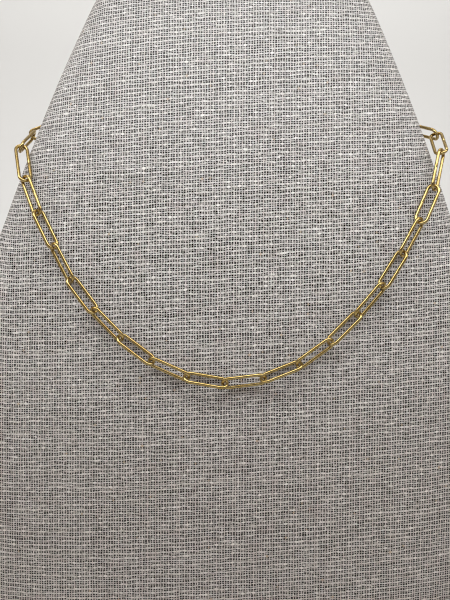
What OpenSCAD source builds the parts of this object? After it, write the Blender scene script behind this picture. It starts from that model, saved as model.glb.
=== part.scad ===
// Paperclip chain necklace on a linen covered display bust.
// X runs to the viewer's right, Y away from the viewer and Z up.
// The origin is on the table, under the middle of the whole object. Millimetres.

/* [Bust] */
// Height of the bust over its flat base
bust_h = 250; // [240:2:260]
// Width of the bust at its widest
bust_w = 184; // [178:1:190]
// Depth of the bust from the foot of its front to its back
bust_d = 64; // [60:1:68]
// Roundness of the top edge
top_edge_r = 5; // [2:0.5:7]
// Roundness of the bottom edge
base_edge_r = 1.5; // [1:0.5:3]

/* [Chain] */
// Thickness of the links' wire
wire_d = 1.1; // [1:0.05:1.15]
// Width of a link over its two sides
link_w = 4.9; // [4.8:0.05:5.1]
// Clear space between two pieces where they hook into each other
joint_gap = 0.35; // [0.3:0.01:0.4]
// How far the clasp has slipped from the middle of the back, to the viewer's right
clasp_slip = 8; // [0:0.5:10]

/* [Clasp] */
// Length of the clasp over its ends
clasp_l = 12.5; // [12:0.1:14]
// Width of the clasp's oval frame
clasp_w = 5; // [4.8:0.1:5.4]
// Thickness of the clasp's oval frame
clasp_wire_d = 1.5; // [1.3:0.1:1.6]
// Outside diameter of the clasp's eye
eye_w = 4.2; // [4:0.1:4.6]
// Thickness of the clasp's eye
eye_wire_d = 1.2; // [1.1:0.05:1.3]
// Outside diameter of the two jump rings
ring_w = 5.8; // [5.6:0.1:6.2]
// Thickness of the jump rings' wire
ring_wire_d = 0.9; // [0.8:0.05:1]

/* [Hidden] */
link_count = 31;
// What the chain adds to the depth of the whole object, behind the bust's back
chain_reach = 3.46;
front_y = -(bust_d + chain_reach) / 2;
half_w = bust_w / 2;
// Between the clasp's eye and its oval frame
neck_l = 0.6;
neck_d = 1;
// Fineness of the wire's bends and of its section
bend_facets = 64;
wire_facets = 24;

// Level sections of the bust, from the base up, in percent
// Columns: height, half width, and the front, middle and back lines as seen from the side
HEIGHT = 0;
HALF_W = 1;
FRONT = 2;
MIDDLE = 3;
BACK = 4;
bust_rows = [
    [0, 92.5, 0, 34.5, 100],
    [16, 99, 6.5, 40.5, 100],
    [34, 100, 15.5, 47, 100],
    [52, 90, 25, 53, 99.5],
    [62, 81, 31, 58, 99],
    [72, 71, 37.5, 62.5, 98],
    [82, 60, 44.5, 68, 96.5],
    [92, 47.5, 52.5, 74, 94.5],
    [100, 35.5, 59.5, 79.5, 93],
];
// Exponents of a section's outline: 2 is an ellipse, more is squarer
front_squareness = 2.5;
back_squareness = 2.3;
// Steps of the skin up the wall, over each rounded edge, and round a section
wall_rings = 22;
edge_steps = 3;
ring_points = 48;

// The chain's way round the bust. Turn 0 is the middle of the front and 90 the viewer's right
// Columns: turn in degrees, height over the table, distance of the wire's centre from the linen
TURN = 0;
LEVEL = 1;
STANDOFF = 2;
route_rows = [
    [-180, 188, 2.6],
    [-150, 187, 3.0],
    [-120, 183, 3.6],
    [-100, 178.2, 3.2],
    [-85, 176.7, 3.4],
    [-72, 172, 3.6],
    [-60, 163.2, 3.0],
    [-45, 147.7, 2.4],
    [-30, 125.2, 2.4],
    [-15, 107.7, 2.4],
    [0, 101.6, 2.4],
    [15, 108.2, 2.4],
    [30, 126.9, 2.4],
    [45, 148.4, 2.4],
    [60, 163.9, 3.2],
    [72, 175.6, 5.4],
    [85, 179.2, 4.8],
    [100, 181.2, 4.2],
    [120, 184, 3.8],
    [150, 187, 3.0],
    [180, 188, 2.6],
];

// How far links are rolled from lying flat on the linen. The rest take the usual roll in turn
// Columns: link number, roll in degrees, positive where the inner side lifts off
LINK = 0;
ROLL = 1;
usual_roll = 45;
roll_rows = [
    [2, -15],
    [3, -70],
    [4, 45],
    [5, -45],
    [6, 50],
    [7, -3],
    [8, -60],
    [9, 22],
    [10, -56],
    [16, -46],
    [17, 35],
    [18, -54],
    [19, 39],
    [20, -50],
    [21, 43],
    [22, -46],
    [23, 38],
    [24, -38],
    [25, 22],
    [26, -82],
    [27, -15],
    [28, 45],
    [29, -68],
    [30, -15],
];

function link_name(k) = str("link_", k < 10 ? "0" : "", k);

// A column's value between the rows, on a smooth curve through all of them
function row_slope(rows, column, k) =
    let (before = rows[max(k - 1, 0)], after = rows[min(k + 1, len(rows) - 1)])
    (after[column] - before[column]) / (after[0] - before[0]);
function row_below(rows, at) =
    len([for (k = [1 : len(rows) - 2]) if (rows[k][0] <= at) k]);
function smooth(rows, column, at) =
    let (
        k = row_below(rows, at),
        width = rows[k + 1][0] - rows[k][0],
        u = (at - rows[k][0]) / width,
        start_slope = row_slope(rows, column, k) * width,
        end_slope = row_slope(rows, column, k + 1) * width,
        rise = u * u * (3 - 2 * u)
    )
    rows[k][column] * (1 - rise) + rows[k + 1][column] * rise
        + start_slope * u * (1 - u) * (1 - u) - end_slope * u * u * (1 - u);

// A point on the bust's skin. The inset moves the outline inwards, for the rounded edges
function skin(turn, height, inset = 0) =
    let (
        at = 100 * height / bust_h,
        n = cos(turn) >= 0 ? front_squareness : back_squareness,
        reach = pow(pow(abs(sin(turn)), n) + pow(abs(cos(turn)), n), -1 / n),
        half = half_w * smooth(bust_rows, HALF_W, at) / 100 - inset,
        middle = bust_d * smooth(bust_rows, MIDDLE, at) / 100,
        front = bust_d * smooth(bust_rows, FRONT, at) / 100 + inset,
        back = bust_d * smooth(bust_rows, BACK, at) / 100 - inset,
        depth = cos(turn) >= 0 ? middle - front : back - middle
    )
    [half * reach * sin(turn), front_y + middle - depth * reach * cos(turn), height];

function unit(v) = v / norm(v);
function outward(turn, height) =
    let (
        step = 0.1,
        round_it = skin(turn + step, height) - skin(turn - step, height),
        up_it = skin(turn, height + step) - skin(turn, height - step)
    )
    unit(cross(round_it, up_it));

// The route as points, with the length travelled along it at each point
function route_level(turn) = smooth(route_rows, LEVEL, turn);
function route_point(turn) =
    let (level = route_level(turn))
    skin(turn, level) + outward(turn, level) * smooth(route_rows, STANDOFF, turn);
route_turns = [for (turn = [-180 : 180]) turn];
route = [for (turn = route_turns) route_point(turn)];
route_last = len(route) - 1;
travel = [
    for (k = 0, run = 0; k <= route_last; k = k + 1, run = run + norm(route[min(k, route_last)] - route[k - 1]))
    run
];
route_x = [for (k = [0 : route_last]) [travel[k], route[k].x]];
route_y = [for (k = [0 : route_last]) [travel[k], route[k].y]];
route_z = [for (k = [0 : route_last]) [travel[k], route[k].z]];
turn_table = [for (k = [0 : route_last]) [travel[k], route_turns[k]]];
loop_l = travel[route_last];
function in_loop(run) = run < 0 ? run + loop_l : run;
function place(run) =
    let (at = in_loop(run))
    [lookup(at, route_x), lookup(at, route_y), lookup(at, route_z)];
function turn_at(run) = lookup(in_loop(run), turn_table);

// The next joint lies a straight span away from the last one
span_tries = 6;
function next_joint(run, span, guess, tries = span_tries) =
    tries == 0 ? guess : next_joint(run, span, guess + span - norm(place(guess) - place(run)), tries - 1);
function chain_joints(start, spacing) = [
    for (k = 0, run = start; k <= link_count; k = k + 1, run = next_joint(run, spacing, run + spacing)) run
];

// The row of links starts and ends at the jump rings, and has to close round the bust
ring_span = ring_w - 2 * ring_wire_d - joint_gap;
clasp_span = clasp_l - eye_wire_d - clasp_wire_d - joint_gap;
closing_span = 2 * ring_span + clasp_span;
chain_start = closing_span / 2 - clasp_slip;
chain_end = loop_l - closing_span / 2 - clasp_slip;
spacing_tries = 5;
function closed_spacing(spacing, tries = spacing_tries) =
    tries == 0 ? spacing
    : closed_spacing(
        spacing + (chain_end - chain_joints(chain_start, spacing)[link_count]) / link_count,
        tries - 1
    );
first_guess = 0.99 * (chain_end - chain_start) / link_count;
link_spacing = closed_spacing(first_guess);
// A link's whole length, to a hundredth of a millimetre
link_l = round(100 * (link_spacing + 2 * wire_d + joint_gap)) / 100;
joints = chain_joints(chain_start, link_spacing);

function link_roll(k) =
    let (own = [for (row = roll_rows) if (row[LINK] == k) row[ROLL]])
    len(own) > 0 ? own[0] : k % 2 == 1 ? usual_roll : -usual_roll;

// Stands its children between two joints on the route, with X along the chain
// and Y over the width of the piece, rolled from the linen by the angle given
module on_route(run_a, run_b, roll) {
    a = place(run_a);
    b = place(run_b);
    turn = turn_at((run_a + run_b) / 2);
    lift = outward(turn, route_level(turn));
    along = unit(b - a);
    up = unit(lift - along * (lift * along));
    flat = cross(up, along);
    side = flat * cos(roll) + up * sin(roll);
    top = cross(along, side);
    middle = (a + b) / 2;
    multmatrix([
        [along.x, side.x, top.x, middle.x],
        [along.y, side.y, top.y, middle.y],
        [along.z, side.z, top.z, middle.z],
        [0, 0, 0, 1],
    ])
        children();
}

// An oval of round wire in the XY plane, long in X. A round ring is as long as it is wide
module oval_ring(length, width, wire) {
    bend_r = (width - wire) / 2;
    straight = length - width;
    for (end = [-1, 1])
        translate([end * straight / 2, 0, 0])
            rotate([0, 0, -90 * end])
                rotate_extrude(angle = 180, $fn = bend_facets)
                    translate([bend_r, 0])
                        circle(d = wire, $fn = wire_facets);
    for (side = [-1, 1])
        translate([-straight / 2, side * bend_r, 0])
            rotate([0, 90, 0])
                cylinder(d = wire, h = straight, $fn = wire_facets);
}

module round_ring(width, wire) {
    rotate_extrude($fn = bend_facets)
        translate([(width - wire) / 2, 0])
            circle(d = wire, $fn = wire_facets);
}

module bust() {
    bottom = [
        for (k = [0 : edge_steps - 1])
        let (a = 90 * k / edge_steps)
        [base_edge_r * (1 - cos(a)), base_edge_r * (1 - sin(a))]
    ];
    walls = [
        for (k = [0 : wall_rings])
        [base_edge_r + (bust_h - base_edge_r - top_edge_r) * k / wall_rings, 0]
    ];
    top = [
        for (k = [1 : edge_steps])
        let (a = 90 * k / edge_steps)
        [bust_h - top_edge_r + top_edge_r * sin(a), top_edge_r * (1 - cos(a))]
    ];
    rings = concat(bottom, walls, top);
    last = len(rings) - 1;
    points = [
        for (ring = rings, k = [0 : ring_points - 1])
        skin(-180 + 360 * k / ring_points, ring[0], ring[1])
    ];
    sides = [
        for (j = [0 : last - 1], k = [0 : ring_points - 1])
        let (
            a = j * ring_points + k,
            b = j * ring_points + (k + 1) % ring_points
        )
        each [[a, a + ring_points, b], [b, a + ring_points, b + ring_points]]
    ];
    base = [[for (k = [0 : ring_points - 1]) k]];
    crown = [[for (k = [ring_points - 1 : -1 : 0]) last * ring_points + k]];
    color([0.68, 0.66, 0.64])
        polyhedron(points = points, faces = concat(sides, base, crown), convexity = 4);
}

module link(k) {
    color("gold")
        on_route(joints[k - 1], joints[k], link_roll(k))
            oval_ring(link_l, link_w, wire_d);
}

module jump_ring_left() {
    color("gold")
        on_route(chain_start - ring_span, chain_start, -usual_roll)
            round_ring(ring_w, ring_wire_d);
}

module jump_ring_right() {
    color("gold")
        on_route(chain_end, chain_end + ring_span, -usual_roll)
            round_ring(ring_w, ring_wire_d);
}

// A plain clasp: a small eye, a short neck and an oval frame, all one piece
module clasp() {
    frame_l = clasp_l - eye_w - neck_l;
    neck_start = -clasp_l / 2 + eye_w - eye_wire_d / 2;
    neck_end = clasp_l / 2 - frame_l + clasp_wire_d / 2;
    color("gold")
        on_route(chain_end + ring_span - loop_l, chain_start - ring_span, usual_roll)
            translate([(clasp_wire_d - eye_wire_d) / 2, 0, 0]) {
                translate([-(clasp_l - eye_w) / 2, 0, 0]) round_ring(eye_w, eye_wire_d);
                translate([(clasp_l - frame_l) / 2, 0, 0]) oval_ring(frame_l, clasp_w, clasp_wire_d);
                translate([neck_start, 0, 0])
                    rotate([0, 90, 0])
                        cylinder(d = neck_d, h = neck_end - neck_start, $fn = wire_facets);
            }
}

bust();
for (k = [1 : link_count]) link(k);
clasp();
jump_ring_left();
jump_ring_right();
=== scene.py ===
"""A gold paperclip chain on a linen covered display bust.

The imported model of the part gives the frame, the clasp and the place of every link. The script
adds the cloth cover of the bust, the panel under its foot and finely made links, rings and clasp,
and sets up a plain studio. Lengths are in metres in the frame of the part, unless a name ends
in _mm.
"""

from __future__ import annotations

import logging
import math
from collections.abc import Callable, Iterator
from contextlib import contextmanager
from dataclasses import dataclass, field
from enum import Enum

import bmesh
import bpy
import numpy as np
from mathutils import Matrix, Vector, noise

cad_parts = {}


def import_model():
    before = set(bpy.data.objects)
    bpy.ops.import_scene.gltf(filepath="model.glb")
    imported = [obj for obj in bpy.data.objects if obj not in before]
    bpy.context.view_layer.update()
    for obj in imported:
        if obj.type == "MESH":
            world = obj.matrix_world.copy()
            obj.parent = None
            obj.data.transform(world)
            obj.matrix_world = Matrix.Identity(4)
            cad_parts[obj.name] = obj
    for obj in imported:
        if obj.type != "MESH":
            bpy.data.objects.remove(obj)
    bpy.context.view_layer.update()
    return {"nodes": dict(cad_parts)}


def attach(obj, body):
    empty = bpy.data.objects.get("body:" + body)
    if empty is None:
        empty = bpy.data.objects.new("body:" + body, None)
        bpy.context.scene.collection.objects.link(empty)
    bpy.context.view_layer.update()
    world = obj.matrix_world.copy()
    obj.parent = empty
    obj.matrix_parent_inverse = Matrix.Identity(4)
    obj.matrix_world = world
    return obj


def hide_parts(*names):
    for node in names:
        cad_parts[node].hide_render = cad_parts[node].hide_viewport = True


LOG = logging.getLogger("necklace")
MM = 0.001
NEAR = 1e-6  # Nearer places count as one.

Colour = tuple[float, float, float, float]
Triple = tuple[float, float, float]


class Wire:
    """An output of a shader node that takes part in Python expressions."""

    def __init__(self, graph: Graph, socket: bpy.types.NodeSocket) -> None:
        """Keeps the graph and the socket.

        Args:
            graph: the node tree that new maths nodes go into.
            socket: the output that this wire stands for.
        """
        self.graph = graph
        self.socket = socket

    def maths(self, operation: str, *others: Wire | float) -> Wire:
        """Adds a Math node whose first input is this wire."""
        return self.graph.maths(operation, self, *others)

    def __add__(self, other: Wire | float) -> Wire:
        """The sum."""
        return self.maths("ADD", other)

    __radd__ = __add__

    def __mul__(self, other: Wire | float) -> Wire:
        """The product."""
        return self.maths("MULTIPLY", other)

    __rmul__ = __mul__

    def __sub__(self, other: Wire | float) -> Wire:
        """The difference."""
        return self.maths("SUBTRACT", other)

    def __rsub__(self, other: float) -> Wire:
        """A number less this wire."""
        return self.graph.maths("SUBTRACT", other, self)

    def __truediv__(self, other: Wire | float) -> Wire:
        """The quotient."""
        return self.maths("DIVIDE", other)

    def __gt__(self, other: Wire | float) -> Wire:
        """One where this wire is the greater, and nought elsewhere."""
        return self.maths("GREATER_THAN", other)


class Graph:
    """The node tree of one material."""

    def __init__(self, name: str) -> None:
        """Makes the material with an empty node tree.

        Args:
            name: the material's name.
        """
        self.material = bpy.data.materials.new(name)
        self.material.use_nodes = True
        self.tree = self.material.node_tree
        self.tree.nodes.clear()

    def node(
        self,
        kind: str,
        settings: dict | None = None,
        inputs: dict | None = None,
        out: int | str = 0,
    ) -> Wire:
        """Adds any node.

        Args:
            kind: the node's type.
            settings: its properties, which are set before its sockets.
            inputs: values or wires by socket name or number.
            out: the output that is wanted.

        Returns:
            That output.
        """
        made = self.tree.nodes.new(kind)
        for key, value in (settings or {}).items():
            setattr(made, key, value)
        for key, value in (inputs or {}).items():
            if isinstance(value, Wire):
                self.tree.links.new(value.socket, made.inputs[key])
            else:
                made.inputs[key].default_value = value
        return Wire(self, made.outputs[out])

    def maths(self, operation: str, *values: Wire | float) -> Wire:
        """Adds a Math node with its inputs in order."""
        return self.node("ShaderNodeMath", {"operation": operation}, dict(enumerate(values)))

    def smoothstep(self, value: Wire, low: float, high: float) -> Wire:
        """A soft step.

        Args:
            value: the wire that is stepped.
            low: where the step is still nought.
            high: where it has come to one.

        Returns:
            The step.
        """
        return self.node(
            "ShaderNodeMapRange",
            {"interpolation_type": "SMOOTHSTEP"},
            {"Value": value, "From Min": low, "From Max": high},
        )

    def coordinates(self) -> Wire:
        """The piece's own coordinates, in metres."""
        return self.node("ShaderNodeTexCoord", out="Object")

    def vector(self, x: Wire | float, y: Wire | float, z: Wire | float = 0.0) -> Wire:
        """Joins three numbers to a vector. The third keeps the layers of noise apart."""
        return self.node("ShaderNodeCombineXYZ", None, {"X": x, "Y": y, "Z": z})

    def mottle(
        self, place: Wire, scale: float = 1.0, detail: float = 2.0, roughness: float = 0.5
    ) -> Wire:
        """Soft noise from nought to one.

        Args:
            place: the coordinates.
            scale: the noise's scale on them.
            detail: how many finer layers it has.
            roughness: how strong those are.

        Returns:
            The noise.
        """
        return self.node(
            "ShaderNodeTexNoise",
            None,
            {"Vector": place, "Scale": scale, "Detail": detail, "Roughness": roughness},
        )

    def chance(self, place: Wire) -> Wire:
        """A random number from nought to one for each place."""
        return self.node("ShaderNodeTexWhiteNoise", {"noise_dimensions": "3D"}, {"Vector": place})

    def blend(
        self, share: Wire | float, first: Wire | Colour, second: Wire | Colour, how: str = "MIX"
    ) -> Wire:
        """Mixes two colours.

        Args:
            share: the second colour's share.
            first: the colour at nought.
            second: the colour at one.
            how: the way of mixing.

        Returns:
            The mixed colour.
        """
        return self.node(
            "ShaderNodeMix",
            {"data_type": "RGBA", "blend_type": how},
            {0: share, 6: first, 7: second},
            out=2,
        )

    def bump(self, height: Wire, strength: float, depth_mm: float) -> Wire:
        """The normal of a fine relief, as deep as depth_mm where the height is one."""
        inputs = {"Strength": strength, "Distance": depth_mm * MM, "Height": height}
        return self.node("ShaderNodeBump", None, inputs)

    def finish(self, inputs: dict) -> bpy.types.Material:
        """Adds the surface shader and the material's output.

        Args:
            inputs: the surface shader's values or wires.

        Returns:
            The material.
        """
        surface = self.node("ShaderNodeBsdfPrincipled", None, inputs)
        end = self.tree.nodes.new("ShaderNodeOutputMaterial")
        self.tree.links.new(surface.socket, end.inputs["Surface"])
        return self.material


@dataclass(frozen=True)
class Step:
    """A soft step from nought at a low value to a share at a high one."""

    low: float
    high: float
    share: float = 1.0

    def of(self, g: Graph, value: Wire) -> Wire:
        """The step of a value."""
        return g.smoothstep(value, self.low, self.high) * self.share


@dataclass(frozen=True)
class Drift:
    """Noise that moves threads: its scales across and up, its layer, detail and reach."""

    across: float
    up: float
    layer: float
    detail: float
    reach: float

    def of(self, g: Graph, u: Wire, v: Wire) -> Wire:
        """How far the threads are moved at a place."""
        place = g.vector(u * self.across, v * self.up, self.layer)
        return (g.mottle(place, detail=self.detail) - 0.5) * self.reach


@dataclass(frozen=True)
class Weave:
    """What is known of a point of the woven cloth, for its colour.

    u and v count the warp and the weft threads. The tops are the heights of the two threads that
    cross there. Luck is random for the upper thread, swell varies along it, and cell is random for
    the crossing.
    """

    u: Wire
    v: Wire
    thick: Wire
    weft_over: Wire
    warp_top: Wire
    weft_top: Wire
    height: Wire
    luck: Wire
    swell: Wire
    cell: Wire


@dataclass(frozen=True)
class LinenFinish:
    """Plain woven linen of uneven threads on the cover's weave map.

    Every other weft thread is a thick one. Half widths, heights and rows are counted in threads.
    The tint's weights are those of a thread's luck and swell, and of the crossing.
    """

    warp_pitch_mm: float = 0.86
    weft_pitch_mm: float = 0.728
    skew: float = 0.0103
    crowded_from_mm: float = 150.0
    crowding: float = 0.0007
    warp_drifts: tuple[Drift, ...] = (
        Drift(0.11, 0.05, 0.0, 3.0, 0.3),
        Drift(0.9, 0.35, 5.0, 1.0, 0.5),
    )
    weft_drifts: tuple[Drift, ...] = (
        Drift(0.06, 0.13, 7.0, 3.0, 1.6),
        Drift(0.35, 0.9, 8.0, 1.0, 1.05),
    )

    warp_half: float = 0.21
    thick_weft_half: float = 0.33
    thin_weft_half: float = 0.13
    least_warp_half: float = 0.1
    least_weft_half: float = 0.08
    luck: float = 0.08
    swell: float = 0.14
    swell_scale: float = 0.16
    warp_apart: float = 7.31
    weft_apart: float = 5.77
    swell_roughness: float = 0.7
    roundness: float = 0.62
    sway: float = 0.25
    thick_rise: float = 0.12

    tint_weights: Triple = (0.35, 0.25, 0.4)
    tint: Step = Step(0.45, 0.95, 0.8)
    # A painted highlight on the threads' crests, stronger on a thick weft that lies on top.
    crest_highlight: Step = Step(0.1, 0.6)
    crest_highlight_lift: float = 0.3
    thick_highlight: float = 0.2
    cell_lift: float = 0.3
    fibre_lift: float = 1.2
    fibre_scale: float = 2.3
    fleck: Step = Step(0.82, 0.92, 0.6)
    fleck_swell: float = 0.2
    seeds_from: float = 0.9975
    seed_share: float = 0.8
    stain_scale: float = 0.13
    stain: Step = Step(0.52, 0.72, 0.45)
    # Painted shade: the cloth is made darker and browner towards the foot.
    above_foot: Step = Step(110, 260)
    foot_shade_share: float = 0.6
    # Painted light: the upper rows are made paler.
    top_light_rows: Step = Step(265, 335, 0.14)
    # Painted shade where the warp and the weft cross at about one height.
    crossing_shade: Step = Step(0.0, 0.22)
    crossing_shade_share: float = 0.5
    # The pits between the threads are painted shade, darkest where the weave is deepest; clog
    # varies each pit's depth at random.
    clog: float = 0.32
    body: Step = Step(-0.06, 0.32)
    # The pits' painted shade is fainter in the upper rows and towards the foot.
    faint_pit_rows: Step = Step(245, 320, 0.4)
    faint_pit_foot: float = 0.16
    relief_mm: float = 0.2
    relief: float = 0.2
    fibre_relief: float = 0.3

    pale: Colour = (0.425, 0.39, 0.362, 1.0)
    brown: Colour = (0.33, 0.275, 0.235, 1.0)
    rose: Colour = (0.47, 0.4, 0.375, 1.0)
    bright: Colour = (0.86, 0.82, 0.785, 1.0)
    seed: Colour = (0.45, 0.34, 0.24, 1.0)
    # Multiplied in as painted shade towards the foot.
    foot_shade: Colour = (0.83, 0.785, 0.76, 1.0)
    # Painted shade in the pits, full and faint.
    pit_shade: Colour = (0.017, 0.013, 0.011, 1.0)
    faint_pit_shade: Colour = (0.1, 0.092, 0.085, 1.0)

    def threads(self, g: Graph, cut: ClothCut) -> tuple[Wire, Wire]:
        """Counts the threads across and up the cloth, which wander a little.

        Args:
            g: the graph.
            cut: the cloth's flat size, which the weave map is one unit of.

        Returns:
            The warp and the weft count.
        """
        uv = g.node("ShaderNodeUVMap", {"uv_map": ClothCut.MAP})
        up = g.node("ShaderNodeSeparateXYZ", None, {"Vector": uv}, "Y") * cut.length_mm
        past = (up - (cut.hem_mm + self.crowded_from_mm)).maths("MAXIMUM", 0.0)
        crowded = past.maths("POWER", 2.0) * self.crowding
        v = (up + crowded) * (1 / self.weft_pitch_mm)
        right = g.node("ShaderNodeSeparateXYZ", None, {"Vector": uv}, "X")
        u = right * (cut.width_mm / self.warp_pitch_mm) + v * self.skew
        warp_moves = (drift.of(g, u, v) for drift in self.warp_drifts)
        weft_moves = (drift.of(g, u, v) for drift in self.weft_drifts)
        return sum(warp_moves, u), sum(weft_moves, v)

    def weave(self, g: Graph, cut: ClothCut) -> Weave:
        """Works out the threads and which of them lies on top.

        Args:
            g: the graph.
            cut: the cloth's flat size.

        Returns:
            What is known of a point.
        """
        u, v = self.threads(g, cut)
        warp, weft = u.maths("FLOOR"), v.maths("FLOOR")
        thick = 1 - ((weft * 0.5).maths("FRACT") > 0.25)

        def swelling(place: Wire) -> Wire:
            """How a thread's width varies along it."""
            return g.mottle(place, roughness=self.swell_roughness)

        def half(middle: Wire | float, luck: Wire, swell: Wire, least: float) -> Wire:
            """A thread's uneven half width."""
            uneven = middle + (luck - 0.5) * self.luck + (swell - 0.5) * self.swell
            return uneven.maths("MAXIMUM", least)

        def rounded(count: Wire, width: Wire) -> Wire:
            """The height of a round thread over the cloth's middle."""
            across = (count.maths("FRACT") - 0.5).maths("ABSOLUTE") / width
            return (1 - across.maths("POWER", 2.0)).maths("MAXIMUM", -1.0) * self.roundness

        def swayed(along: Wire, thread: Wire) -> Wire:
            """How far a thread rises and sinks over the threads that it crosses."""
            return ((along - 0.5 + thread) * math.pi).maths("COSINE") * self.sway

        warp_luck = g.chance(g.vector(warp, 3.0))
        weft_luck = g.chance(g.vector(5.0, weft))
        warp_swell = swelling(g.vector(warp * self.warp_apart, v * self.swell_scale, 2.0))
        weft_swell = swelling(g.vector(u * self.swell_scale, weft * self.weft_apart, 4.0))
        weft_middle = thick * (self.thick_weft_half - self.thin_weft_half) + self.thin_weft_half
        warp_half = half(self.warp_half, warp_luck, warp_swell, self.least_warp_half)
        weft_half = half(weft_middle, weft_luck, weft_swell, self.least_weft_half)
        warp_top = rounded(u, warp_half) + swayed(v, warp)
        weft_top = rounded(v, weft_half) - swayed(u, weft) + thick * self.thick_rise
        weft_over = weft_top > warp_top
        warp_over = 1 - weft_over
        return Weave(
            u=u,
            v=v,
            thick=thick,
            weft_over=weft_over,
            warp_top=warp_top,
            weft_top=weft_top,
            height=warp_top.maths("MAXIMUM", weft_top),
            luck=warp_luck * warp_over + weft_luck * weft_over,
            swell=warp_swell * warp_over + weft_swell * weft_over,
            cell=g.chance(g.vector(warp, weft, 9.0)),
        )

    def thread_colour(self, g: Graph, at: Weave, fibre: Wire, foot: Wire) -> Wire:
        """Mixes the colour of the threads, with a painted highlight on their crests and painted
        shade where they cross and towards the foot.

        Args:
            g: the graph.
            at: what is known of the point.
            fibre: the fine fibres of the threads.
            foot: how near the point is to the foot, where shade is painted.

        Returns:
            The colour.
        """
        luck_weight, swell_weight, cell_weight = self.tint_weights
        tint = at.luck * luck_weight + at.swell * swell_weight + at.cell * cell_weight
        colour = g.blend(self.tint.of(g, tint), self.pale, self.brown)
        # A painted highlight on the crests, with the threads' own random tone from the crossing
        # and the fibres.
        crest_highlight_lift = at.weft_over * at.thick * self.thick_highlight + self.crest_highlight_lift
        highlight_and_tone = (
            self.crest_highlight.of(g, at.height) * crest_highlight_lift
            + (at.cell - 0.5) * self.cell_lift
            + (fibre - 0.5) * self.fibre_lift
        )
        colour = g.blend(highlight_and_tone.maths("MAXIMUM", 0.0), colour, self.bright)
        fleck = at.cell * (1 - self.fleck_swell) + at.swell * self.fleck_swell
        colour = g.blend(self.fleck.of(g, fleck), colour, self.bright)
        colour = g.blend((at.cell > self.seeds_from) * self.seed_share, colour, self.seed)
        stained = g.vector(at.u * self.stain_scale, at.v * self.stain_scale, 3.0)
        stain = g.mottle(stained, detail=3.0, roughness=0.6)
        colour = g.blend(self.stain.of(g, stain), colour, self.rose)
        # Painted shade, darker and browner towards the foot.
        colour = g.blend(foot * self.foot_shade_share, colour, self.foot_shade, "MULTIPLY")
        # Painted light on the upper rows.
        colour = g.blend(self.top_light_rows.of(g, at.v), colour, self.bright)
        # Painted shade where the two threads cross at about one height.
        apart = (at.warp_top - at.weft_top).maths("ABSOLUTE")
        crossing_shade = 1 - self.crossing_shade.of(g, apart)
        return g.blend(crossing_shade * self.crossing_shade_share, colour, self.pit_shade)

    def make(self, cut: ClothCut) -> bpy.types.Material:
        """Builds the material.

        Args:
            cut: the cloth's flat size.

        Returns:
            The material.
        """
        g = Graph("linen_weave")
        at = self.weave(g, cut)
        fibres = g.vector(at.u * self.fibre_scale, at.v * self.fibre_scale, 1.0)
        fibre = g.mottle(fibres, detail=3.0, roughness=0.7)
        # How near the foot, for the painted shade there and the fainter pits.
        foot = 1 - self.above_foot.of(g, at.v)
        thread = self.thread_colour(g, at, fibre, foot)
        # Painted shade in the pits between the threads, by depth, fainter in the upper rows and
        # towards the foot.
        between = g.vector((at.u + 0.5).maths("FLOOR"), (at.v + 0.5).maths("FLOOR"), 6.0)
        depth = at.height + (g.chance(between) - 0.5) * self.clog
        faint_pits = self.faint_pit_rows.of(g, at.v) + foot * self.faint_pit_foot
        colour = g.blend(self.body.of(g, depth), g.blend(faint_pits, self.pit_shade, self.faint_pit_shade), thread)
        relief = g.bump(at.height + fibre * self.fibre_relief, self.relief, self.relief_mm)
        return g.finish(
            {"Base Color": colour, "Roughness": 0.95, "Specular IOR Level": 0.1, "Normal": relief}
        )


@dataclass(frozen=True)
class GoldFinish:
    """Polished yellow gold plate with faint wear."""

    yellow: Colour = (0.445, 0.33, 0.14, 1.0)
    deep: Colour = (0.39, 0.26, 0.08, 1.0)
    cloud_scale: float = 260.0
    cloud: Step = Step(0.35, 0.75)
    rub_scale: float = 2600.0
    roughness: float = 0.18
    cloud_roughness: float = 0.1

    def make(self) -> bpy.types.Material:
        """Builds the material.

        Returns:
            The material.
        """
        g = Graph("gold_plate")
        place = g.coordinates()
        cloud = g.mottle(place, self.cloud_scale, detail=3.0, roughness=0.6)
        rub = g.mottle(place, self.rub_scale, roughness=0.7)
        return g.finish(
            {
                "Base Color": g.blend(self.cloud.of(g, cloud), self.yellow, self.deep),
                "Metallic": 1.0,
                "Roughness": self.roughness + cloud * self.cloud_roughness,
                "Normal": g.bump(rub, strength=0.12, depth_mm=0.03),
            }
        )


@dataclass(frozen=True)
class PanelFinish:
    """Pressed grey felt under the foot."""

    grey: Colour = (0.21, 0.2, 0.19, 1.0)
    dark: Colour = (0.13, 0.125, 0.12, 1.0)
    nap_scale: float = 1400.0

    def make(self) -> bpy.types.Material:
        """Builds the material.

        Returns:
            The material.
        """
        g = Graph("foot_felt")
        nap = g.mottle(g.coordinates(), self.nap_scale, detail=4.0, roughness=0.7)
        return g.finish(
            {
                "Base Color": g.blend(nap, self.dark, self.grey),
                "Roughness": 0.95,
                "Normal": g.bump(nap, strength=0.5, depth_mm=0.2),
            }
        )


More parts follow.
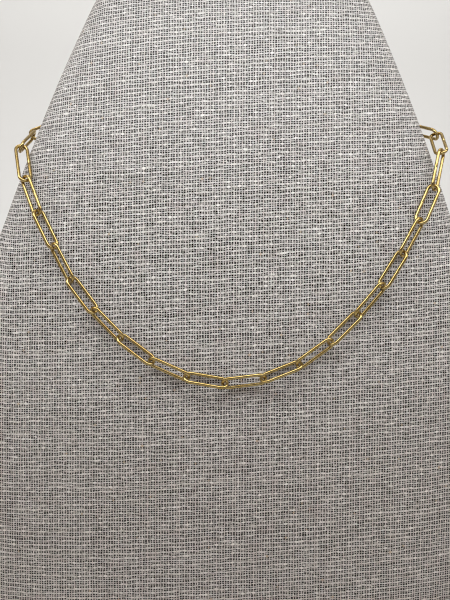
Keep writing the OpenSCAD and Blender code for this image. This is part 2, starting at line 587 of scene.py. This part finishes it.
class Bench:
    """Small tools for modelling by hand."""

    @staticmethod
    def choose(piece: bpy.types.Object | None) -> None:
        """Makes a piece the only one selected, and active.

        Args:
            piece: the piece, or None to select nothing.
        """
        for other in bpy.context.selected_objects:
            other.select_set(False)
        if piece:
            piece.select_set(True)
            bpy.context.view_layer.objects.active = piece

    @staticmethod
    @contextmanager
    def editing(piece: bpy.types.Object) -> Iterator[None]:
        """Puts one piece in edit mode, with nothing selected, and comes back out.

        Args:
            piece: the piece.
        """
        Bench.choose(piece)
        bpy.ops.object.mode_set(mode="EDIT")
        bpy.ops.mesh.select_all(action="DESELECT")
        try:
            yield
        finally:
            bpy.ops.object.mode_set(mode="OBJECT")

    @staticmethod
    def merge(within_mm: float) -> None:
        """Merges near points of the piece in edit mode, and leaves all of it selected.

        Args:
            within_mm: how near they are.
        """
        bpy.ops.mesh.select_all(action="SELECT")
        bpy.ops.mesh.remove_doubles(threshold=within_mm * MM)
        bpy.ops.mesh.select_all(action="SELECT")

    @staticmethod
    def select_edges(
        piece: bpy.types.Object, wanted: Callable[[bmesh.types.BMEdge], bool]
    ) -> None:
        """Selects the wanted edges of a piece in edit mode, and nothing else.

        Args:
            piece: the piece.
            wanted: says whether an edge is wanted.
        """
        bpy.ops.mesh.select_mode(type="EDGE")
        bpy.ops.mesh.select_all(action="DESELECT")
        shape = bmesh.from_edit_mesh(piece.data)
        for edge in shape.edges:
            edge.select_set(bool(wanted(edge)))
        bmesh.update_edit_mesh(piece.data)

    @staticmethod
    def face_out(piece: bpy.types.Object) -> None:
        """Merges a closed piece's doubles and turns its faces outwards.

        Args:
            piece: the piece.
        """
        with Bench.editing(piece):
            Bench.merge(within_mm=0.001)
            bpy.ops.mesh.normals_make_consistent(inside=False)

    @staticmethod
    def copy(source: bpy.types.Object, name: str) -> bpy.types.Object:
        """Copies a piece with its own mesh, and nothing that ties it to the solids.

        Args:
            source: the piece that is copied.
            name: the copy's name.

        Returns:
            The copy.
        """
        made = bpy.data.objects.new(name, source.data.copy())
        made.data.name = name
        bpy.context.scene.collection.objects.link(made)
        return made

    @staticmethod
    def extent(piece: bpy.types.Object) -> tuple[Vector, Vector]:
        """The lowest and highest corner of a piece in edit mode.

        Args:
            piece: the piece.

        Returns:
            The two corners.
        """
        places = [vertex.co.copy() for vertex in bmesh.from_edit_mesh(piece.data).verts]
        low = Vector(min(place[k] for place in places) for k in range(3))
        high = Vector(max(place[k] for place in places) for k in range(3))
        return low, high

    @staticmethod
    def modify(piece: bpy.types.Object, kind: str, **settings: object) -> None:
        """Adds a modifier and applies it.

        Args:
            piece: the piece.
            kind: the modifier's type.
            settings: its properties.
        """
        Bench.choose(piece)
        made = piece.modifiers.new(kind.lower(), kind)
        for key, value in settings.items():
            setattr(made, key, value)
        bpy.ops.object.modifier_apply(modifier=made.name)

    @staticmethod
    def frame_of(solid: bpy.types.Object) -> Matrix:
        """The place and turn of a solid that is the same on both sides of its middle planes.

        Args:
            solid: the solid.

        Returns:
            A matrix with X along its longest side and Z along its shortest.
        """
        mesh = solid.data
        count = len(mesh.polygons)
        areas, centres = np.empty(count), np.empty(count * 3)
        mesh.polygons.foreach_get("area", areas)
        mesh.polygons.foreach_get("center", centres)
        centres = centres.reshape(-1, 3)
        middle = (centres * areas[:, None]).sum(0) / areas.sum()
        spread = centres - middle
        turns = np.linalg.eigh((spread * areas[:, None]).T @ spread)[1][:, ::-1]
        long, side = Vector(turns[:, 0]), Vector(turns[:, 1])
        made = Matrix((long, side, long.cross(side))).transposed().to_4x4()
        made.translation = Vector(middle)
        return made


@dataclass(frozen=True)
class SectionRow:
    """One level section of the bust.

    The height is in percent of the bust's, the half width in percent of half its width, and the
    front, middle and back lines in percent of its depth.
    """

    height: float
    half_width: float
    front: float
    middle: float
    back: float


@dataclass(frozen=True)
class ClothCut:
    """The flat piece of cloth that covers the bust, and its weave map of one unit a side."""

    width_mm: float = 460.0
    length_mm: float = 330.0
    hem_mm: float = 30.0
    MAP = "weave"

    def place(self, across_mm: float, up_mm: float) -> tuple[float, float]:
        """The weave map's place of a point right of the front's middle and up from the foot."""
        return 0.5 + across_mm / self.width_mm, (self.hem_mm + up_mm) / self.length_mm


@dataclass
class DisplayBust:
    """The tapered display bust: its stretched cloth cover and the panel under its foot."""

    height_mm: float = 250.0
    width_mm: float = 184.0
    depth_mm: float = 64.0
    front_mm: float = -33.73
    top_edge_mm: float = 5.0
    top_steps: int = 6
    foot_edge_mm: float = 1.2
    foot_steps: int = 4
    foot_gap_mm: float = 0.8
    hem_insets_mm: tuple[float, ...] = (12.5, 8.5, 4.5, 1.5)
    front_squareness: float = 2.5
    back_squareness: float = 2.3
    wall_steps: int = 72
    turn_steps: int = 116
    seam_turn: float = 174.0
    unevenness_mm: float = 0.16
    cut: ClothCut = field(default_factory=ClothCut)
    rows: tuple[SectionRow, ...] = (
        SectionRow(0, 92.5, 0, 34.5, 100),
        SectionRow(16, 99, 6.5, 40.5, 100),
        SectionRow(34, 100, 15.5, 47, 100),
        SectionRow(52, 90, 25, 53, 99.5),
        SectionRow(62, 81, 31, 58, 99),
        SectionRow(72, 71, 37.5, 62.5, 98),
        SectionRow(82, 60, 44.5, 68, 96.5),
        SectionRow(92, 47.5, 52.5, 74, 94.5),
        SectionRow(100, 35.5, 59.5, 79.5, 93),
    )

    def value(self, column: str, height: float) -> float:
        """A column of the rows between two of them, on a smooth curve.

        Args:
            column: the column's name.
            height: the height in percent.

        Returns:
            The value in percent.
        """

        def slope(k: int) -> float:
            """The curve's slope at a row.

            Args:
                k: the row's number.

            Returns:
                The slope.
            """
            before, after = self.rows[max(k - 1, 0)], self.rows[min(k + 1, len(self.rows) - 1)]
            change = getattr(after, column) - getattr(before, column)
            return change / (after.height - before.height)

        k = sum(row.height <= height for row in self.rows[1:-1])
        low, high = self.rows[k], self.rows[k + 1]
        width = high.height - low.height
        t = (height - low.height) / width
        rise = t * t * (3 - 2 * t)
        curve = getattr(low, column) * (1 - rise) + getattr(high, column) * rise
        return curve + width * t * (1 - t) * (slope(k) * (1 - t) - slope(k + 1) * t)

    def skin(self, turn: float, height_mm: float, inset_mm: float = 0.0) -> Vector:
        """A point of the bust's surface.

        Args:
            turn: degrees round from the middle of the front, to the viewer's right.
            height_mm: the height over the table.
            inset_mm: how far the section is drawn in.

        Returns:
            The point in millimetres.
        """
        at = 100 * min(max(height_mm / self.height_mm, 0), 1)
        sine, cosine = math.sin(math.radians(turn)), math.cos(math.radians(turn))
        n = self.front_squareness if cosine >= 0 else self.back_squareness
        reach = (abs(sine) ** n + abs(cosine) ** n) ** (-1 / n)
        half = self.width_mm / 2 * self.value("half_width", at) / 100 - inset_mm
        middle = self.depth_mm * self.value("middle", at) / 100
        front = self.depth_mm * self.value("front", at) / 100 + inset_mm
        back = self.depth_mm * self.value("back", at) / 100 - inset_mm
        depth = middle - front if cosine >= 0 else back - middle
        y = self.front_mm + middle - depth * reach * cosine
        return Vector((half * reach * sine, y, height_mm))

    def columns(self) -> list[tuple[float, float, float]]:
        """The cloth's columns from one side of the back seam round to the other.

        Returns:
            For each column its turn, its distance from the seam where that counts, and how deep
            it is drawn in, in millimetres.
        """
        span = 2 * self.seam_turn
        wall = [
            (-self.seam_turn + span * k / self.turn_steps, 0.0, 0.0)
            for k in range(self.turn_steps + 1)
        ]
        # The seam's lip: each place's distance from the seam, and its depth.
        lip = ((2.4, 0.0), (1.5, -0.06), (0.8, 0.02), (0.3, 0.3), (0.08, 0.9), (0.06, 3.0))
        left = [(-180.0, away, sink) for away, sink in reversed(lip)]
        right = [(180.0, away, sink) for away, sink in lip]
        return left + wall + right

    def levels(self) -> list[tuple[float, float, float]]:
        """The cloth's rows from the turned in hem up to the rim of the crown.

        Returns:
            For each row its height, inset and length up the cloth from the foot, in millimetres.
        """
        edge, top = self.foot_edge_mm, self.top_edge_mm
        low, high = self.foot_gap_mm + edge, self.height_mm - top
        rows = [(self.foot_gap_mm, edge + inset) for inset in self.hem_insets_mm]
        for k in range(self.foot_steps + 1):
            a = math.radians(90 * k / self.foot_steps)
            rows.append((self.foot_gap_mm + edge * (1 - math.cos(a)), edge * (1 - math.sin(a))))
        foot = len(rows) - 1
        for k in range(1, self.wall_steps + 1):
            rows.append((low + (high - low) * k / self.wall_steps, 0.0))
        for k in range(1, self.top_steps + 1):
            a = math.radians(90 * k / self.top_steps)
            rows.append((high + top * math.sin(a), top * (1 - math.cos(a))))
        fronts = [self.skin(0, height, inset) for height, inset in rows]
        runs = [0.0]
        for below, above in zip(fronts, fronts[1:]):
            runs.append(runs[-1] + (above - below).length)
        return [(height, inset, run - runs[foot]) for (height, inset), run in zip(rows, runs)]

    def thread_rise(self, across_mm: float, up_mm: float) -> float:
        """How far a weft thread has risen from the middle of the front to a point of the cloth.

        Args:
            across_mm: how far the point is to the right of the middle.
            up_mm: how far it is up from the foot.

        Returns:
            The rise in millimetres.
        """
        tilt, settle = 0.063, 0.03
        droop, droop_width, droop_edge = 0.155, 30.0, -53.0
        left_end, right_end = -72.0, 75.0
        full_from, fade = 212.0, 38.0
        across = max(min(across_mm, right_end), left_end)
        strength = min(1.0, math.exp((up_mm - full_from) / fade))
        pulled = droop * droop_width * (1 - math.exp((droop_edge - across) / droop_width))
        return tilt * across + strength * (pulled - settle * across)

    def cloth_point(
        self, turn: float, seam_mm: float, sink_mm: float, height_mm: float, inset_mm: float
    ) -> Vector:
        """A point of the cloth, with its slight unevenness and the fold of the seam.

        Args:
            turn: the column's turn, or the seam's where the column is counted from it.
            seam_mm: the column's distance from the seam.
            sink_mm: how deep the column is drawn in.
            height_mm: the row's height.
            inset_mm: the row's inset.

        Returns:
            The point in millimetres.
        """
        if seam_mm:
            half = self.skin(90, height_mm, inset_mm).x
            turn = math.copysign(180 - math.degrees(seam_mm / half), turn)
        point = self.skin(turn, height_mm, inset_mm)
        step, elsewhere = 0.2, Vector((9, 2, 5))
        before, after = (self.skin(turn + way * step, height_mm, inset_mm) for way in (-1, 1))
        below, above = (self.skin(turn, height_mm + way * step, inset_mm) for way in (-1, 1))
        outward = (after - before).cross(above - below).normalized()
        # Measured from the waves' crests, so that the cloth is uneven inwards only.
        broad, fine, broad_scale, fine_scale = 0.5, 0.25, 0.045, 0.12
        wave = noise.noise(point * broad_scale) * broad
        wave += noise.noise(point * fine_scale + elsewhere) * fine
        return point + outward * (self.unevenness_mm * (wave - (broad + fine)) - sink_mm)

    def cover(self) -> bpy.types.Object:
        """Builds the cloth cover.

        Returns:
            The cover.
        """
        columns, levels = self.columns(), self.levels()
        mesh = bmesh.new()
        across: list[list[float]] = []
        grid: list[list[bmesh.types.BMVert]] = []
        for height, inset, _ in levels:
            points = [self.cloth_point(*column, height, inset) for column in columns]
            grid.append([mesh.verts.new(point * MM) for point in points])
            runs = [0.0]
            for a, b in zip(points, points[1:]):
                runs.append(runs[-1] + (b - a).length)
            middle = (runs[len(runs) // 2] + runs[(len(runs) - 1) // 2]) / 2
            across.append([run - middle for run in runs])
        weave = mesh.loops.layers.uv.new(ClothCut.MAP)

        def mapped(j: int, k: int) -> tuple[float, float]:
            """The weave map's place of a wall's vertex."""
            run, up = across[j][k], levels[j][2]
            return self.cut.place(run, up - self.thread_rise(run, up))

        for j in range(len(levels) - 1):
            for k in range(len(columns) - 1):
                corners = ((j, k), (j, k + 1), (j + 1, k + 1), (j + 1, k))
                face = mesh.faces.new([grid[a][b] for a, b in corners])
                for loop, (a, b) in zip(face.loops, corners):
                    loop[weave].uv = mapped(a, b)
        self.crown(mesh, grid[-1], weave, levels[-1][2])
        for face in mesh.faces:
            face.smooth = True
        return self.piece("linen_cover", mesh)

    def crown(
        self,
        mesh: bmesh.types.BMesh,
        rim: list[bmesh.types.BMVert],
        weave: bmesh.types.BMLayerItem,
        rim_up_mm: float,
    ) -> None:
        """Closes the top with the cloth that is laid over it.

        Args:
            mesh: the cover's mesh.
            rim: the wall's uppermost row of vertices.
            weave: the cover's weave map.
            rim_up_mm: the length up the cloth at the rim.
        """
        shares, sag_mm = (0.86, 0.64, 0.4, 0.16), 0.05
        centre = sum((v.co for v in rim), Vector()) / len(rim)
        centre.z = self.height_mm * MM - sag_mm * MM
        front = min(v.co.y for v in rim)
        rings = [rim]
        for share in shares:
            rings.append([mesh.verts.new(centre.lerp(v.co, share)) for v in rim])
        middle = mesh.verts.new(centre)

        def lay(corners: list[bmesh.types.BMVert]) -> None:
            """Adds a face whose threads run on from the front.

            Args:
                corners: its corners, in order.
            """
            face = mesh.faces.new(corners)
            for loop in face.loops:
                across, back = loop.vert.co.x / MM, (loop.vert.co.y - front) / MM
                up = rim_up_mm + back
                loop[weave].uv = self.cut.place(across, up - self.thread_rise(across, up))

        for low, high in zip(rings, rings[1:]):
            for k in range(len(low) - 1):
                lay([low[k], low[k + 1], high[k + 1], high[k]])
            lay([low[-1], low[0], high[0], high[-1]])
        last = rings[-1]
        for k in range(len(last)):
            lay([last[k], last[(k + 1) % len(last)], middle])

    @staticmethod
    def piece(name: str, mesh: bmesh.types.BMesh) -> bpy.types.Object:
        """Makes an object of a mesh that is in place.

        Args:
            name: the object's name.
            mesh: the mesh, which is freed.

        Returns:
            The object.
        """
        data = bpy.data.meshes.new(name)
        mesh.to_mesh(data)
        mesh.free()
        made = bpy.data.objects.new(name, data)
        bpy.context.scene.collection.objects.link(made)
        return made

    def panel(self, solid: bpy.types.Object) -> bpy.types.Object:
        """Cuts the panel under the foot from a copy of the bust's solid.

        Args:
            solid: the bust's solid.

        Returns:
            The panel.
        """
        inset_mm, thickness_mm, edge_mm, flat_degrees = 5.5, 0.75, 0.15, 2
        made = Bench.copy(solid, "foot_panel")
        with Bench.editing(made):
            Bench.merge(within_mm=0.01)
            bpy.ops.mesh.bisect(
                plane_co=(0, 0, thickness_mm * MM),
                plane_no=(0, 0, 1),
                clear_outer=True,
                use_fill=True,
            )
            bpy.ops.mesh.select_all(action="SELECT")
            bpy.ops.mesh.dissolve_limited(angle_limit=math.radians(flat_degrees))
            bpy.ops.mesh.select_all(action="SELECT")
            low, high = Bench.extent(made)
            middle = (low + high) / 2
            shrink = 2 * inset_mm * MM
            bpy.ops.transform.resize(
                value=(1 - shrink / (high.x - low.x), 1 - shrink / (high.y - low.y), 1),
                center_override=(middle.x, middle.y, 0),
            )
        Bench.modify(made, "BEVEL", width=edge_mm * MM, segments=2, limit_method="ANGLE")
        return made

    def build(self, nodes: dict[str, bpy.types.Object]) -> list[bpy.types.Object]:
        """Builds and dresses the bust's pieces.

        Args:
            nodes: the solids by name.

        Returns:
            The pieces.
        """
        cover = self.cover()
        cover.data.materials.append(LinenFinish().make(self.cut))
        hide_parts("bust")
        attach(cover, "root")
        panel = self.panel(nodes["bust"])
        panel.data.materials.clear()
        panel.data.materials.append(PanelFinish().make())
        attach(panel, "root")
        return [cover, panel]


class Kind(Enum):
    """What a solid of the chain is, by the start of its name."""

    LINK = "link"
    RING = "jump_ring"
    CLASP = "clasp"


@dataclass
class Chain:
    """The chain: oval links of round wire, the jump rings and the clasp."""

    link_length_mm: float = 14.94
    link_width_mm: float = 4.9
    link_wire_mm: float = 1.1
    link_joint_mm: float = 0.08
    link_waist: float = 0.975
    ring_mm: float = 5.8
    ring_wire_mm: float = 0.9
    ring_joint_mm: float = 0.07
    ring_waist: float = 0.86
    bend_steps: int = 48
    wire_steps: int = 20
    side_cuts: int = 5
    voxel_mm: float = 0.11

    def hoop(self, name: str, outside_mm: float, wire_mm: float) -> bpy.types.Object:
        """Adds a round hoop of wire, flat at the origin.

        Args:
            name: its name.
            outside_mm: its outside diameter.
            wire_mm: the wire's diameter.

        Returns:
            The hoop.
        """
        Bench.choose(None)
        bpy.ops.mesh.primitive_torus_add(
            major_segments=self.bend_steps,
            minor_segments=self.wire_steps,
            major_radius=(outside_mm - wire_mm) / 2 * MM,
            minor_radius=wire_mm / 2 * MM,
        )
        made = bpy.context.object
        made.name = made.data.name = name
        return made

    def link(self) -> bpy.types.Object:
        """Models one link flat at the origin, long in X.

        It is two bends, two straight sides and the soldered joint.

        Returns:
            The link.
        """
        made = self.hoop("link_pattern", self.link_width_mm, self.link_wire_mm)
        half_side = (self.link_length_mm - self.link_width_mm) / 2 * MM
        middle_y = (self.link_width_mm - self.link_wire_mm) / 2 * MM
        with Bench.editing(made):
            bpy.ops.mesh.select_all(action="SELECT")
            bpy.ops.mesh.bisect(
                plane_co=(0, 0, 0), plane_no=(1, 0, 0), clear_inner=True, threshold=NEAR
            )
            bpy.ops.mesh.select_all(action="SELECT")
            bpy.ops.transform.translate(value=(half_side, 0, 0))
            bpy.ops.mesh.duplicate()
            bpy.ops.transform.rotate(value=math.pi, orient_axis="Z", center_override=(0, 0, 0))
            for side in (-1, 1):
                Bench.select_edges(
                    made, lambda edge: edge.is_boundary and edge.verts[0].co.y * side > 0
                )
                bpy.ops.mesh.bridge_edge_loops(number_cuts=self.side_cuts)
            self.joint(made, middle_y, self.link_joint_mm * MM, self.link_waist)
        Bench.face_out(made)
        return made

    def ring(self) -> bpy.types.Object:
        """Models one jump ring flat at the origin, with the saw cut where it closes.

        Returns:
            The ring.
        """
        made = self.hoop("ring_pattern", self.ring_mm, self.ring_wire_mm)
        middle_y = (self.ring_mm - self.ring_wire_mm) / 2 * MM
        with Bench.editing(made):
            self.joint(made, middle_y, self.ring_joint_mm * MM, self.ring_waist)
        Bench.face_out(made)
        return made

    @staticmethod
    def joint(made: bpy.types.Object, middle_y: float, width: float, waist: float) -> None:
        """Sinks the closing joint of a wire where it crosses X = 0 on positive Y.

        Args:
            made: the piece, in edit mode.
            middle_y: how far the wire's middle is from the origin.
            width: the joint's half width along the wire.
            waist: the wire's thickness in the joint, as a share.
        """

        def at_joint(edge: bmesh.types.BMEdge) -> bool:
            """Whether an edge runs round the wire in the middle of the joint."""
            return all(abs(vertex.co.x) < NEAR and vertex.co.y > 0 for vertex in edge.verts)

        Bench.select_edges(made, at_joint)
        bpy.ops.mesh.bevel(offset=width, segments=2, affect="EDGES", clamp_overlap=True)
        Bench.select_edges(made, at_joint)
        bpy.ops.transform.resize(value=(1, waist, waist), center_override=(0, middle_y, 0))

    def clasp(self, solid: bpy.types.Object) -> bpy.types.Object:
        """Models the clasp from a merged copy of its solid, with the soft corners of a casting.

        Args:
            solid: the clasp's solid.

        Returns:
            The clasp.
        """
        made = Bench.copy(solid, "gold_clasp")
        with Bench.editing(made):
            Bench.merge(within_mm=0.002)
        Bench.modify(made, "REMESH", mode="VOXEL", voxel_size=self.voxel_mm * MM)
        Bench.modify(made, "SMOOTH", factor=0.5, iterations=4)
        return made

    @staticmethod
    def frame(solid: bpy.types.Object, kind: Kind) -> Matrix:
        """The place and turn of a link or a ring.

        Args:
            solid: its solid.
            kind: what it is. A ring looks the same all round, so its joint is turned to the top.

        Returns:
            A matrix that takes the pattern there.
        """
        made = Bench.frame_of(solid)
        if kind is Kind.LINK:
            return made
        thin, up = Vector(made.col[2][:3]), Vector((0, 0, 1))
        side = (up - thin * up.dot(thin)).normalized()
        turned = Matrix((side.cross(thin), side, thin)).transposed().to_4x4()
        turned.translation = made.translation
        return turned

    def build(self, nodes: dict[str, bpy.types.Object]) -> list[bpy.types.Object]:
        """Builds and dresses the chain's pieces.

        Args:
            nodes: the solids by name.

        Returns:
            The pieces.
        """
        gold = GoldFinish().make()
        patterns = {Kind.LINK: self.link(), Kind.RING: self.ring()}
        made: list[bpy.types.Object] = []
        for name, solid in nodes.items():
            kind = next((kind for kind in Kind if name.startswith(kind.value)), None)
            if kind is None:
                continue
            if kind is Kind.CLASP:
                piece = self.clasp(solid)
            else:
                piece = Bench.copy(patterns[kind], f"gold_{name}")
                piece.data.transform(self.frame(solid, kind))
            Bench.choose(piece)
            bpy.ops.object.shade_smooth()
            piece.data.materials.clear()
            piece.data.materials.append(gold)
            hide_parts(name)
            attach(piece, "root")
            made.append(piece)
        for pattern in patterns.values():
            bpy.data.objects.remove(pattern)
        return made


@dataclass(frozen=True)
class Lamp:
    """One soft rectangular light.

    It has a place for its middle, a point that it faces, a size, a power in watts and a colour.
    """

    name: str
    place: Triple
    aim: Triple
    size: tuple[float, float]
    power: float
    colour: Triple


@dataclass
class Studio:
    """A pale sweep, soft light from above, from both sides and on the backdrop, and the camera."""

    aim: Triple = (-0.0012, -0.0178, 0.128)
    distance: float = 0.311
    pitch: float = -9.0
    roll: float = 0.95
    lens_mm: float = 57.96
    sweep_size: float = 3.0
    sweep_back: float = 0.75
    sweep_bend: float = 0.3
    sweep_steps: int = 14
    wall_height: float = 2.0
    paper: Colour = (0.6, 0.6, 0.59, 1.0)
    paper_roughness: float = 0.9
    glow: Triple = (1.0, 0.79, 0.6)
    glow_strength: float = 0.125
    pixel_filter: float = 1.1
    lamps: tuple[Lamp, ...] = (
        Lamp("overhead", (0, -0.13, 0.3), (0, -0.105, 0), (0.8, 0.12), 1.5, (0.885, 0.95, 1.0)),
        Lamp("ceiling", (0, 0, 2.2), (0, 0.001, 0), (3.0, 3.0), 14.0, (1.0, 0.97, 0.94)),
        Lamp("left", (-0.6, -0.04, 0.12), (0, -0.02, 0.03), (0.7, 0.7), 0.55, (1.0, 0.88, 0.8)),
        Lamp("right", (0.6, -0.04, 0.12), (0, -0.02, 0.03), (0.7, 0.7), 0.55, (1.0, 0.88, 0.8)),
        Lamp("backdrop", (0, 0.3, 0.85), (0, 1.05, 0.25), (1.2, 0.3), 11.5, (1.0, 1.0, 1.0)),
    )

    def sweep(self) -> None:
        """Builds the floor that curves up to the backdrop."""
        Bench.choose(None)
        half = self.sweep_size / 2
        middle = (0, self.sweep_back - half, 0)
        bpy.ops.mesh.primitive_plane_add(size=self.sweep_size, location=middle)
        made = bpy.context.object
        made.name = "studio_sweep"
        with Bench.editing(made):
            Bench.select_edges(made, lambda edge: all(vertex.co.y > 0 for vertex in edge.verts))
            turns = [math.radians(90 * k / self.sweep_steps) for k in range(self.sweep_steps + 1)]
            for a, b in zip(turns, turns[1:]):
                self.extrude(
                    self.sweep_bend * (math.sin(b) - math.sin(a)),
                    self.sweep_bend * (math.cos(a) - math.cos(b)),
                )
            self.extrude(0, self.wall_height)
        bpy.ops.object.shade_smooth()
        paper = {"Base Color": self.paper, "Roughness": self.paper_roughness}
        made.data.materials.append(Graph("studio_paper").finish(paper))

    @staticmethod
    def extrude(back: float, up: float) -> None:
        """Draws the selected edge out, away from the viewer and up."""
        bpy.ops.mesh.extrude_region_move(TRANSFORM_OT_translate={"value": (0, back, up)})

    @staticmethod
    def light(lamp: Lamp) -> None:
        """Adds one light.

        Args:
            lamp: what it is like.
        """
        data = bpy.data.lights.new(lamp.name, "AREA")
        data.shape = "RECTANGLE"
        data.size, data.size_y = lamp.size
        data.energy = lamp.power
        data.color = lamp.colour
        made = bpy.data.objects.new(lamp.name, data)
        bpy.context.scene.collection.objects.link(made)
        made.location = lamp.place
        ahead = Vector(lamp.aim) - Vector(lamp.place)
        made.rotation_euler = ahead.to_track_quat("-Z", "Y").to_euler()

    def room(self) -> None:
        """Adds the room's own glow, and keeps the picture's fine weave crisp."""
        scene = bpy.context.scene
        world = bpy.data.worlds.new("studio_glow")
        world.use_nodes = True
        back = world.node_tree.nodes["Background"]
        back.inputs["Color"].default_value = (*self.glow, 1.0)
        back.inputs["Strength"].default_value = self.glow_strength
        scene.world = world
        scene.view_settings.view_transform = "Standard"
        scene.cycles.denoising_prefilter = "NONE"
        scene.cycles.filter_width = self.pixel_filter

    def camera(self) -> None:
        """Adds the camera."""
        data = bpy.data.cameras.new("camera")
        data.lens = self.lens_mm
        made = bpy.data.objects.new("camera", data)
        bpy.context.scene.collection.objects.link(made)
        pitch, roll = math.radians(self.pitch), math.radians(self.roll)
        ahead = Vector((0, math.cos(pitch), math.sin(pitch)))
        right, up = Vector((1, 0, 0)), Vector((0, -math.sin(pitch), math.cos(pitch)))
        right_rolled = right * math.cos(roll) + up * math.sin(roll)
        up_rolled = up * math.cos(roll) - right * math.sin(roll)
        turn = Matrix((right_rolled, up_rolled, -ahead)).transposed().to_4x4()
        made.matrix_world = Matrix.Translation(Vector(self.aim) - ahead * self.distance) @ turn
        bpy.context.scene.camera = made

    def build(self) -> None:
        """Sets up the studio."""
        self.camera()
        self.room()
        for lamp in self.lamps:
            self.light(lamp)
        self.sweep()


def main() -> None:
    """Dresses the part and sets up the studio."""
    logging.basicConfig(level=logging.INFO, format="%(name)s: %(message)s")
    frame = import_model()
    Studio().build()
    pieces = DisplayBust().build(frame["nodes"]) + Chain().build(frame["nodes"])
    for piece in pieces:
        LOG.info("%s: %d faces", piece.name, len(piece.data.polygons))
    bpy.context.view_layer.update()


if __name__ == "__main__":
    main()
